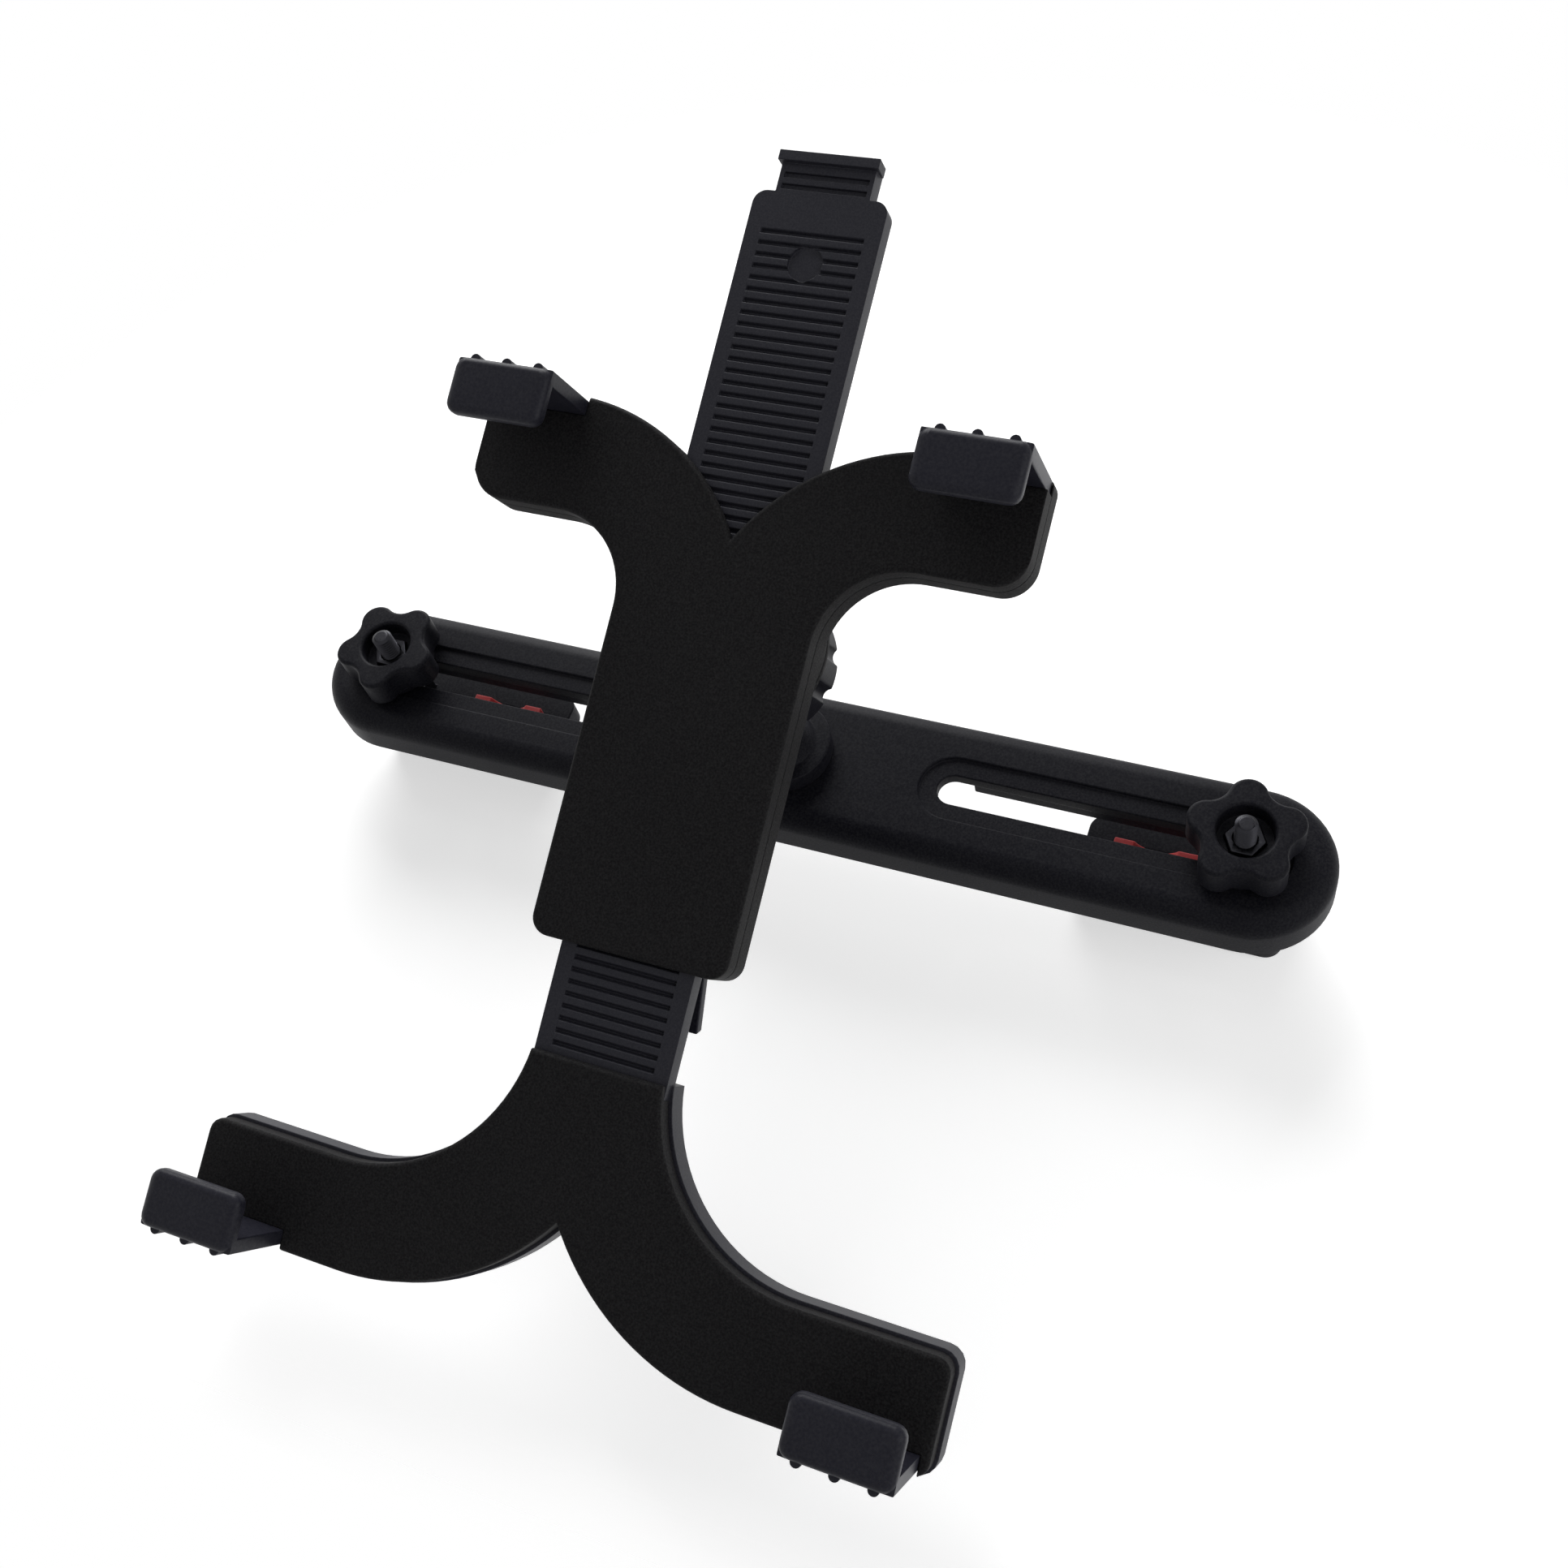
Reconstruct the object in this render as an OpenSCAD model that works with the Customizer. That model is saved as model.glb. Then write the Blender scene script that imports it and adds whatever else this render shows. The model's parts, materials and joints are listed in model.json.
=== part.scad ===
// Headrest tablet mount: a slotted crossbar that clamps to two headrest posts, a lockable ball
// joint and a ratchet tablet holder with four hooked arms.
// Frame: X along the crossbar, +Z up along the posts, -Y towards the rear passenger.
// The origin is midway between the two post axes.

/* [Crossbar] */
// Overall length of the crossbar
bar_l = 258; // [230:1:300]
// Height of the crossbar
bar_h = 37; // [34:0.5:44]
// Thickness of the crossbar, face to rim
bar_t = 12; // [10:0.5:16]
// Wall of the crossbar moulding
bar_wall = 2.6; // [2:0.1:3.2]
// Radius of the rounded long edges
bar_edge_r = 5; // [3.5:0.5:7]
// Height of each slot
slot_h = 7.6; // [7:0.1:9]
// Distance from the middle of the bar to the inner end of each slot
slot_in = 38; // [34:0.5:46]
// Width of the shallow land round each slot
land_w = 4.4; // [3:0.1:5]
// Depth of the shallow land
land_d = 0.9; // [0.6:0.1:1.4]

/* [Post clamps] */
// Diameter of the headrest posts
post_d = 12; // [10:0.5:14]
// Distance from the end of the bar to each clamp bolt
bolt_end = 20.5; // [20:0.5:26]
// Distance between the bolt and the post that it clamps
post_in = 21; // [18:0.5:26]
// Diameter of the clamp bolt
bolt_d = 5; // [4:0.5:5]
// Height of each jaw
jaw_h = 24.5; // [22:0.5:30]
// Distance from the bolt's axis up to the middle of the jaw
jaw_up = 2.75; // [0:0.25:3]
// Thickness of each jaw behind its pad
jaw_t = 6.5; // [6:0.5:9]
// Thickness of the rubber pad under the post
pad_t = 4.2; // [4:0.1:4.6]
// Reach of a knob lobe from its axis
knob_r = 13.2; // [12:0.1:14.5]
// Height of the knob
knob_h = 9.5; // [8:0.5:12]
// Radius of one knob lobe
lobe_r = 4.3; // [3.8:0.1:4.6]

/* [Ball joint] */
// Diameter of the ball
ball_d = 19; // [18:0.5:20]
// Distance from the bar face to the centre of the ball
ball_out = 40; // [38:0.5:46]
// Tilt of the holder as photographed
tilt = 23; // [0:1:26]
// Diameter of the neck that carries the ball
neck_d = 8; // [7:0.5:8.5]
// Outer diameter of the locking ring
ring_d = 34; // [32:0.5:40]

/* [Tablet holder] */
// Distance from the ball centre to the front face of the holder
face_out = 30; // [29.5:0.5:36]
// Width of the holder body
body_w = 44; // [42:0.5:50]
// Distance from the ball centre down to the bottom of the body
body_low = 69; // [66:0.5:80]
// Thickness of the holder body
body_t = 10.5; // [10.5:0.1:12]
// Wall of the holder covers
wall = 2.2; // [1.8:0.1:2.2]
// Distance from the ball centre up to the fork of the upper arms
fork_up = 18.5; // [14:0.5:22]
// Height of the lower edge of the upper arms
arm_low = 18.3; // [14:0.1:20]
// Width of the upper arms
arm_w = 25; // [24:0.5:28]
// Reach of the upper arms from the middle
arm_reach = 61.7; // [58:0.1:72]
// Radius under the upper arms
armpit_r = 18; // [14:0.5:20]

/* [Strap and base] */
// Width of the toothed strap
strap_w = 30; // [28:0.5:31]
// Thickness of the strap
strap_t = 4.5; // [4:0.1:4.6]
// Distance from the ball centre up to the shoulder of the strap
strap_top = 93.5; // [90:0.5:110]
// Length of the narrow tongue above the shoulder
tongue_l = 8.5; // [7:0.5:12]
// Width of the tongue
tongue_w = 21; // [18:0.5:23]
// Spacing of the strap teeth
tooth_pitch = 2.56; // [2.4:0.02:3]
// Depth of the strap teeth
tooth_d = 0.9; // [0.6:0.1:1.1]
// Distance from the ball centre down to the top of the base panel
panel_top = 91.5; // [90:0.5:100]
// Distance from the ball centre down to the inner edge of the base arms
base_in = 124.3; // [123:0.1:135]
// Width of the base arms
base_arm_w = 22.2; // [21:0.1:26]
// Reach of the base arms from the middle
base_reach = 83; // [78:0.5:95]
// Radius of the base's inner curve
base_r = 36.5; // [32:0.5:36.5]

/* [Hooks] */
// Width of each hook
hook_w = 22; // [18:0.5:24]
// Height of a hook's lip
lip_h = 12; // [9:0.5:14]
// Clear depth inside a hook
hook_gap = 15.8; // [10:0.1:20]
// Thickness of a hook's lip and shelf
lip_t = 3.2; // [2.6:0.1:3.6]

/* [Hidden] */
$fn = 64;
eps = 0.01;

// Colours as the photograph shows them
shell_c = "#1c1b1e";
strap_c = "#2b2930";
bar_c = "#26262c";
hook_c = "#30303a";
steel_c = "#3a3a3e";
pad_c = "#7e1a1c";

// Clearances
fit_gap = 0.2;       // between mouldings that seat on each other
slide_gap = 0.25;    // between sliding mouldings
run_gap = 0.06;      // radial, round a turning spigot or pin
ball_gap = 0.05;     // between the ball surfaces
post_gap = 0.3;      // between a post and the bar's rim

// Crossbar places
rim_y = -post_d / 2 - post_gap;
bar_y = rim_y - bar_t;
end_x = bar_l / 2 - bar_h / 2;
slot_out = bar_l / 2 - bolt_end + slot_h / 2 + 2.4;
land_y = bar_y + land_d;
boss_r = 5;
post_screw_x = 7.5;
post_screw_d = 3;
rib_x = 20;
rib_t = 1.8;

// Clamp places
bolt_x = bar_l / 2 - bolt_end;
post_x = bolt_x - post_in;
post_r = post_d / 2;
pad_web = 1.2;
pocket_d = 1;
jaw_y = post_r + pad_web - pocket_d;
pad_back = post_r + pad_web;
pad_front = pad_back - pad_t;
pad_l = post_d + 8;
pad_h = jaw_h - 2 * jaw_up - 3;
jaw_back = jaw_y + jaw_t;
jaw_in_x = post_x - post_r - 11;
jaw_out_x = bolt_x + 11.5;
heel_h = jaw_h - 2 * jaw_up;
heel_y = rim_y + 3;
heel_l = 8;
rail_z = 7.6;
rail_x0 = slot_in + 6;
rail_x1 = jaw_out_x + 3;
head_af = 8;
head_t = 3.5;
head_sink = 2.5;
head_y = jaw_back - head_sink;
face_gap = 0.05;
washer_t = 1.2;
washer_r = 7;
washer_y = land_y - face_gap - washer_t;
key_l = 9;
key_t = 2.6;
knob_y = washer_y - face_gap;
knob_face = knob_y - knob_h;
skirt_r = 9.6;
skirt_t = 1.6;
lobe_at = knob_r - lobe_r;
valley_at = knob_r + 1.8;
valley_r = sqrt(pow(lobe_at, 2) + pow(valley_at, 2) - 2 * lobe_at * valley_at * cos(36)) - lobe_r;
core_r = sqrt(pow(lobe_at, 2) + pow(lobe_r, 2)) + 1.25;
right_turn = 26.6;
left_turn = 47;
nut_af = 8;
nut_t = 4;
nut_y = knob_face + 3.4;
well_d = nut_y + 1 - knob_face;
well_r = 6.3;
bolt_out = 3.2;
bolt_tip = knob_face - bolt_out;

// Ball joint places, measured from the ball centre along the holder's forward normal
ball_y = bar_y - ball_out;
ball_r = ball_d / 2;
flange_r = 11.5;
flange_t = 5;
cup_in_r = ball_r + ball_gap;
cup_r = cup_in_r + 2;
cup_rim = 1.6;
cup_slit = 1.2;
house_in_r = cup_r + ball_gap;
house_r = house_in_r + 3;
turn_r = house_r + 2.5;
turn_t = 3;
turn_gap = 0.1;
turn_front = face_out - body_t - turn_gap;
turn_back = turn_front - turn_t;
collar_in_r = turn_r + run_gap * 2;
collar_r = collar_in_r + 4.3;
collar_end = turn_back - turn_gap;
cap_t = 2;
cap_screw_r = collar_r - 2.2;
cap_screw_d = 2.2;
thread_r = house_r - 0.6;
thread_top = 3;
house_end = 2.5;
ring_r = ring_d / 2;
mouth_r = ball_r * 0.87;
mouth_s = sqrt(ball_r * ball_r - mouth_r * mouth_r);
ring_end = mouth_s + 3.2;
flare_r = 11.6;
ring_flutes = 12;

// Holder places, in the holder's own frame: v runs back from the front face, z up
arm_hi = arm_low + arm_w;
strap_v = wall + slide_gap;
strap_back = strap_v + strap_t;
seam_v = 5;
seam_gap = 0.1;
rear_in = body_t - wall;
bend_x = 43;
bend_r = (pow(bend_x, 2) + pow(arm_hi - fork_up, 2)) / (2 * (arm_hi - fork_up));
base_out = base_in + base_arm_w;
base_fork = base_in - 1.1;
base_bend_x = 45;
base_bend_r = (pow(base_bend_x, 2) + pow(base_out - base_fork, 2)) / (2 * (base_out - base_fork));
corner_r = 4;
arm_corner_r = 7;
tip_r = 3;
base_back = strap_back + 4.2;
rim_out = 0.7;
groove_w = 23;
groove_t = 1.15;
rack_w = 12;
rack_d = 1.1;
rack_gap = 0.12;
gate_z = strap_top - 15;
gate_r = 3.8;
screw_r = 1.1;
screw_low = 7;
screw_gap = 0.03;
screw_head_r = 2.1;
screw_head_t = 1.5;
boss_post_r = 2.5;

// Hook places
hook_x = arm_reach - hook_w / 2 - 0.6;
base_hook_x = base_reach - hook_w / 2 - 2;
cover_screw_x = (strap_w + body_w) / 4;
cover_screws_at = [for (s = [-1, 1]) each [[s * (hook_x - hook_w / 4), arm_low + arm_w / 2],
    [s * cover_screw_x, screw_low - body_low]]];
panel_screw_x = base_hook_x - hook_w / 2 - boss_post_r;
panel_screws_at = [[0, -(panel_top + 2 * base_fork) / 3],
    for (s = [-1, 1]) [s * panel_screw_x, -base_in - base_arm_w * 0.43]];
hook_drop = 1.1;
tail_h = 3;
tail_w = hook_w - 2 * wall - 1;
pocket_gap = 0.1;
hook_in = rear_in - 0.1;
lip_r = 2.4;
rib_step = 7.3;
hook_rib_r = 1.1;

// Release lever places
lever_w = 25;
pin_z = -46;
pin_r = 1.25;
pin_v = body_t + 1;
pin_l = lever_w + 5.2;
ear_in = lever_w / 2 + 0.3;
ear_out = pin_l / 2 + 1.2;
hub_r = 3.2;
nose_z = pin_z + 9.5;
nose_w = rack_w - 1;
window_hi = pin_z + 13;
window_lo = pin_z - 12;
tab_low = body_low + 12;
tab_flare = 6.5;
spring_w = 7;
wire_r = 0.35;
coil_r = pin_r + 0.25 + wire_r;
coils = 5;
spring_leg = 10.5;
spring_lean = 8;

module at_holder() {
    translate([0, ball_y, 0])
        rotate([tilt, 0, 0])
            translate([0, -face_out, 0])
                children();
}

// Places children with their +Z along the holder's forward normal, z = 0 at the ball centre
module at_ball() {
    translate([0, ball_y, 0])
        rotate([tilt, 0, 0])
            rotate([90, 0, 0])
                children();
}

// A round piece along +Y from y0 to y1
module rod_y(r, y0, y1, x = 0, z = 0) {
    translate([x, y0, z])
        rotate([-90, 0, 0])
            cylinder(r = r, h = y1 - y0);
}

module hex_y(af, y0, y1, x = 0, z = 0) {
    translate([x, y0, z])
        rotate([-90, 0, 0])
            cylinder(r = af / sqrt(3), h = y1 - y0, $fn = 6);
}

// A stadium along X, from y0 to y1
module stadium(x0, x1, h, y0, y1) {
    rod_y(h / 2, y0, y1, x0 + h / 2);
    rod_y(h / 2, y0, y1, x1 - h / 2);
    translate([x0 + h / 2, y0, -h / 2])
        cube([x1 - x0 - h, y1 - y0, h]);
}

// Outlines and lofted shells

function arc(c, r, a0, a1, n) = [for (i = [0:n]) let (a = a0 + (a1 - a0) * i / n) c + r * [cos(a), sin(a)]];

function mirrored(half) = concat(half,
    [for (i = [len(half) - 1:-1:0]) if (half[i][0] > eps) [-half[i][0], half[i][1]]]);

// Upper Y, every edge moved in by d
function body_half(d) = concat(
    [[0, -body_low + d]],
    arc([body_w / 2 - corner_r, -body_low + corner_r], corner_r - d, -90, 0, 8),
    arc([body_w / 2 + armpit_r, arm_low - armpit_r], armpit_r + d, 180, 90, 20),
    arc([arm_reach - arm_corner_r, arm_low + arm_corner_r], arm_corner_r - d, -90, 0, 12),
    arc([arm_reach - tip_r, arm_hi - tip_r], max(tip_r - d, 0.3), 0, 90, 6),
    arc([bend_x, arm_hi - bend_r], bend_r - d, 90, acos(-bend_x / (bend_r - d)), 20));

// Lower Y, every edge moved in by d, with its top at z = top
function base_half(d, top) = concat(
    [[0, top]],
    arc([strap_w / 2 - 0.4 + base_r, -base_in + base_r], base_r + d,
        180 + asin((-base_in + base_r - top) / (base_r + d)), 270, 22),
    arc([base_reach - tip_r, -base_in - tip_r], max(tip_r - d, 0.3), 90, 0, 4),
    arc([base_reach - tip_r, -base_out + tip_r], max(tip_r - d, 0.3), 0, -90, 4),
    arc([base_bend_x, -base_out + base_bend_r], base_bend_r - d, -90,
        -acos(-base_bend_x / (base_bend_r - d)), 20));

// An outline of the holder swept from v0 to v1
module prism(ring, v0, v1) {
    translate([0, v1, 0])
        rotate([90, 0, 0])
            linear_extrude(height = v1 - v0)
                polygon(ring);
}

// Joins outlines of equal length, each at its own depth v, into one solid
module loft(rings, depths) {
    n = len(rings[0]);
    m = len(rings);
    points = [for (k = [0:m - 1]) for (p = rings[k]) [p[0], depths[k], p[1]]];
    sides = [for (k = [0:m - 2]) for (i = [0:n - 1]) let (j = (i + 1) % n, u = k * n, w = (k + 1) * n)
        each [[u + i, u + j, w + j], [u + i, w + j, w + i]]];
    front = [for (i = [n - 1:-1:0]) i];
    back = [for (i = [0:n - 1]) (m - 1) * n + i];
    polyhedron(points = points, faces = concat([front], sides, [back]), convexity = 8);
}

function body_ring(d) = mirrored(body_half(d));

function base_ring(d, top) = let (c = mirrored(base_half(d, top))) [for (i = [len(c) - 1:-1:0]) c[i]];

// Rounded rectangle round x = 0, from z0 to z1
function round_ring(w, z0, z1, r, d) = concat(
    arc([w / 2 - r, z0 + r], r - d, -90, 0, 4),
    arc([w / 2 - r, z1 - r], r - d, 0, 90, 4),
    arc([r - w / 2, z1 - r], r - d, 90, 180, 4),
    arc([r - w / 2, z0 + r], r - d, 180, 270, 4));

// A plate with rounded corners, from y0 to y1
module plate_y(x0, x1, h, y0, y1, r) {
    for (x = [x0 + r, x1 - r])
        for (s = [-1, 1])
            rod_y(r, y0, y1, x, s * (h / 2 - r));
    translate([x0 + r, y0, -h / 2])
        cube([x1 - x0 - 2 * r, y1 - y0, h]);
    translate([x0, y0, r - h / 2])
        cube([x1 - x0, y1 - y0, h - 2 * r]);
}

// A round post along v in the holder's frame
module post_v(r, v0, v1, at) {
    translate([at[0], v0, at[1]])
        rotate([-90, 0, 0])
            cylinder(r = r, h = v1 - v0);
}

// Extrudes a profile drawn as (y, z) along X
module along_x(w) {
    rotate([90, 0, 90])
        linear_extrude(height = w, center = true)
            children();
}

// A self-tapping screw along v, head at the back
module screw_v(r, head_r, head_t, tip, seat, at) {
    post_v(r, tip, seat + eps, at);
    post_v(head_r, seat, seat + head_t, at);
}

// The bar's pillow form: rounded front edges, round ends
module bar_form(half, t, r, y0) {
    for (s = [-1, 1])
        translate([s * end_x, y0, 0])
            rotate([-90, 0, 0])
                rotate_extrude() {
                    square([half - r, t]);
                    translate([0, r])
                        square([half, t - r]);
                    intersection() {
                        translate([half - r, r])
                            circle(r);
                        square([half, t]);
                    }
                }
    translate([0, y0, 0])
        along_x(2 * end_x) {
            translate([r, -half])
                square([t - r, 2 * half]);
            translate([0, r - half])
                square([t, 2 * (half - r)]);
            for (s = [-1, 1])
                translate([r, s * (half - r)])
                    circle(r);
        }
}

module crossbar() {
    color(bar_c)
        difference() {
            union() {
                difference() {
                    bar_form(bar_h / 2, bar_t, bar_edge_r, bar_y);
                    bar_form(bar_h / 2 - bar_wall, bar_t + 2, bar_edge_r - bar_wall, bar_y + bar_wall);
                }
                for (s = [-1, 1])
                    mirror([s < 0 ? 1 : 0, 0, 0])
                        slot_rim();
                bar_ribs();
            }
            for (s = [-1, 1])
                mirror([s < 0 ? 1 : 0, 0, 0]) {
                    stadium(slot_in - land_w, slot_out + land_w, slot_h + 2 * land_w, bar_y - 1, land_y);
                    stadium(slot_in, slot_out, slot_h, bar_y - 1, bar_y + 8);
                    rod_y(post_screw_d / 2 + screw_gap + 0.2, bar_y - 1, bar_y + 8, post_screw_x);
                    rod_y(post_screw_d + 0.3, bar_y + bar_wall + 2, bar_y + bar_t + 1, post_screw_x);
                }
        }
}

// Raised rim round a slot, inside the hollow bar
module slot_rim() {
    stadium(slot_in - 2, slot_out + 2, slot_h + 4, bar_y + bar_wall - eps, land_y + 3.2);
}

// Cross ribs and screw bosses inside the bar
module bar_ribs() {
    for (x = [-rib_x, rib_x, -rib_x / 3.4, rib_x / 3.4])
        translate([x - rib_t / 2, bar_y + bar_wall - eps, 1 - bar_h / 2])
            cube([rib_t, bar_t - bar_wall - 2.5, bar_h - 2]);
    translate([-slot_in + land_w, bar_y + bar_wall - eps, -rib_t / 2])
        cube([2 * (slot_in - land_w), bar_t - bar_wall - 2.5, rib_t]);
    for (x = [-post_screw_x, post_screw_x])
        rod_y(boss_r, bar_y + bar_wall - eps, bar_y + bar_wall + 2, x);
    for (s = [-1, 1])
        for (z = [-rail_z, rail_z])
            translate([s > 0 ? rail_x0 : -rail_x1, bar_y + bar_wall - eps, z - rib_t / 2])
                cube([rail_x1 - rail_x0, bar_t - bar_wall, rib_t]);
}

module ball_post() {
    color(bar_c)
        difference() {
            union() {
                rod_y(flange_r, bar_y - flange_t, bar_y);
                translate([0, bar_y - flange_t, 0])
                    rotate([90, 0, 0])
                        cylinder(r1 = 8, r2 = neck_d / 2, h = 7);
                rod_y(neck_d / 2, ball_y, bar_y - flange_t);
                translate([0, ball_y, 0])
                    rotate([90, 0, 0])
                        sphere(r = ball_r);
            }
            for (x = [-post_screw_x, post_screw_x])
                rod_y(post_screw_d / 2 + screw_gap, bar_y - flange_t + 1, bar_y + 1, x);
        }
}

module post_screws() {
    color(steel_c)
        for (x = [-post_screw_x, post_screw_x]) {
            rod_y(post_screw_d / 2, bar_y - flange_t + 1.3, bar_y + bar_wall + 2 + eps, x);
            rod_y(post_screw_d * 0.93, bar_y + bar_wall + 2, bar_y + bar_wall + 4, x);
        }
}

module friction_cup() {
    color(strap_c)
        at_ball()
            difference() {
                sphere(r = cup_r);
                sphere(r = cup_in_r);
                translate([-cup_r, -cup_r, cup_rim - 2 * cup_r])
                    cube(2 * cup_r);
                cylinder(r = 3.2, h = 2 * cup_r);
                for (a = [45, 135])
                    rotate([0, 0, a])
                        translate([-cup_r, -cup_slit / 2, 0])
                            cube([2 * cup_r, cup_slit, cup_rim + 4.5]);
            }
}

module socket_housing() {
    color(bar_c)
        at_ball()
            difference() {
                union() {
                    translate([0, 0, thread_top])
                        cylinder(r = house_r, h = turn_front - thread_top);
                    translate([0, 0, -house_end])
                        cylinder(r = thread_r, h = thread_top + house_end + eps);
                    translate([0, 0, turn_back])
                        cylinder(r = turn_r, h = turn_t);
                }
                sphere(r = house_in_r);
                translate([0, 0, -house_end - 1])
                    cylinder(r = house_in_r, h = house_end + 1);
                translate([0, 0, house_in_r + 2])
                    cylinder(r = house_r - 4, h = turn_front);
            }
}

module lock_ring() {
    color(bar_c)
        at_ball()
            difference() {
                translate([0, 0, -ring_end])
                    cylinder(r = ring_r, h = ring_end + thread_top - fit_gap);
                translate([0, 0, -house_end - 0.4])
                    cylinder(r = thread_r + run_gap, h = house_end + thread_top + 1);
                sphere(r = cup_in_r);
                translate([0, 0, -ring_end - eps])
                    cylinder(r1 = flare_r, r2 = mouth_r, h = ring_end - mouth_s + eps);
                for (i = [0:ring_flutes - 1])
                    rotate([0, 0, (i + 0.5) * 360 / ring_flutes])
                        translate([ring_r + 1, 0, -ring_end - 1])
                            cylinder(r = 2.1, h = 2 * ring_end);
            }
}

module retainer_ring() {
    color(shell_c)
        at_ball()
            translate([0, 0, collar_end - cap_t])
                difference() {
                    cylinder(r = collar_r, h = cap_t);
                    translate([0, 0, -1])
                        cylinder(r = house_r + run_gap * 2, h = cap_t + 2);
                    cap_screw_holes(cap_screw_d / 2 + screw_gap, -1, cap_t + 1);
                }
}

module cap_screw_holes(r, z0, z1) {
    for (a = [30, 150, 270])
        rotate([0, 0, a])
            translate([cap_screw_r, 0, z0])
                cylinder(r = r, h = z1 - z0);
}

module retainer_screws() {
    color(steel_c)
        at_ball() {
            cap_screw_holes(cap_screw_d / 2, collar_end - cap_t - eps, collar_end + 2.6);
            cap_screw_holes(cap_screw_d * 0.9, collar_end - cap_t - 1.3, collar_end - cap_t);
        }
}

// Strap channel through both covers
module strap_channel(v0, v1) {
    translate([-strap_w / 2 - slide_gap, v0, -2 * body_low])
        cube([strap_w + 2 * slide_gap, v1 - v0, 4 * body_low]);
}

// Pockets in the arm edges that take the shelves of the upper hooks
module hook_pockets(v0, v1) {
    for (s = [-1, 1])
        translate([s * hook_x - hook_w / 2 - pocket_gap, v0, arm_hi - hook_drop - lip_t - pocket_gap])
            cube([hook_w + 2 * pocket_gap, v1 - v0, 2 * lip_t]);
}

module front_cover() {
    color(shell_c)
        at_holder()
            difference() {
                union() {
                    difference() {
                        prism(body_ring(0), 0, seam_v);
                        prism(body_ring(wall), wall, seam_v + 1);
                    }
                    for (at = cover_screws_at)
                        post_v(boss_post_r, wall - eps, seam_v, at);
                }
                strap_channel(wall, seam_v + 1);
                hook_pockets(-1, seam_v + 1);
                for (at = cover_screws_at)
                    post_v(screw_r + screw_gap, wall + 0.4, seam_v + 1, at);
            }
}

module rear_cover() {
    color(shell_c)
        difference() {
            union() {
                at_holder() {
                    rear_shell();
                    lever_ears();
                }
                at_ball()
                    translate([0, 0, collar_end])
                        cylinder(r = collar_r, h = face_out - body_t - collar_end + 0.5);
            }
            at_ball() {
                translate([0, 0, collar_end - 1])
                    cylinder(r = collar_in_r, h = face_out - body_t - collar_end + 1);
                cap_screw_holes(cap_screw_d / 2 + screw_gap, collar_end - 1, collar_end + 2.7);
            }
            at_holder()
                lever_window();
        }
}

// Rear half of the holder body, hollow, with strap guides and screw bosses
module rear_shell() {
    difference() {
        union() {
            difference() {
                prism(body_ring(0), seam_v + seam_gap, body_t);
                prism(body_ring(wall), seam_v, rear_in);
            }
            for (at = cover_screws_at)
                post_v(boss_post_r, seam_v + seam_gap, rear_in + eps, at);
            for (s = [-1, 1])
                translate([s * (strap_w / 2 + slide_gap + 0.6) - 0.6, seam_v + seam_gap, 0.5 - body_low])
                    cube([1.2, rear_in - seam_v, body_low + fork_up - 1.5]);
        }
        strap_channel(seam_v, strap_back + slide_gap);
        hook_pockets(seam_v, rear_in);
        for (at = cover_screws_at) {
            post_v(screw_r + screw_gap, seam_v - 1, body_t + 1, at);
            post_v(screw_head_r + screw_gap, body_t - screw_head_t, body_t + 1, at);
        }
    }
}

// Ears that carry the ends of the lever pin
module lever_ears() {
    for (s = [-1, 1])
        translate([s > 0 ? ear_in : -ear_out, body_t - 0.5, pin_z])
            difference() {
                union() {
                    translate([0, 0, -hub_r])
                        cube([ear_out - ear_in, pin_v - body_t + 0.5, 2 * hub_r]);
                    translate([0, pin_v - body_t + 0.5, 0])
                        rotate([0, 90, 0])
                            cylinder(r = hub_r, h = ear_out - ear_in);
                }
            }
}

module lever_window() {
    translate([-ear_in, rear_in - 1, window_lo])
        cube([2 * ear_in, 4, window_hi - window_lo]);
    translate([-pin_l / 2 - 0.1, pin_v, pin_z])
        rotate([0, 90, 0])
            cylinder(r = pin_r + 0.02, h = pin_l + 0.2);
}

module cover_screws() {
    color(steel_c)
        at_holder()
            for (at = cover_screws_at)
                screw_v(screw_r, screw_head_r, screw_head_t, wall + 0.6, body_t - screw_head_t, at);
}

// A hook in its own frame: shelf outer face at z = 0, lip towards -z, arm front at v = 0
module hook() {
    loft([for (d = [1.6, 0.7, 0.2, 0, 0]) round_ring(hook_w, -lip_h, 0, lip_r, d)],
         [for (t = [0, 0.35, 0.9, 1.5, lip_t]) t - hook_gap - lip_t]);
    translate([-hook_w / 2, -hook_gap - lip_t + 1.6, -lip_t])
        cube([hook_w, hook_gap + lip_t - 1.6 + hook_in, lip_t]);
    translate([-tail_w / 2, wall + 0.15, -lip_t - tail_h])
        cube([tail_w, seam_v - wall - 0.3, tail_h + 1]);
    for (i = [-1:1])
        translate([i * rib_step, -hook_gap - lip_t + 1.6, 0])
            rotate([-90, 0, 0])
                cylinder(r = hook_rib_r, h = hook_gap + lip_t - 2.2);
}

module upper_left_hook() {
    color(hook_c)
        at_holder()
            translate([-hook_x, 0, arm_hi - hook_drop])
                hook();
}

module upper_right_hook() {
    color(hook_c)
        at_holder()
            translate([hook_x, 0, arm_hi - hook_drop])
                hook();
}

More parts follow.
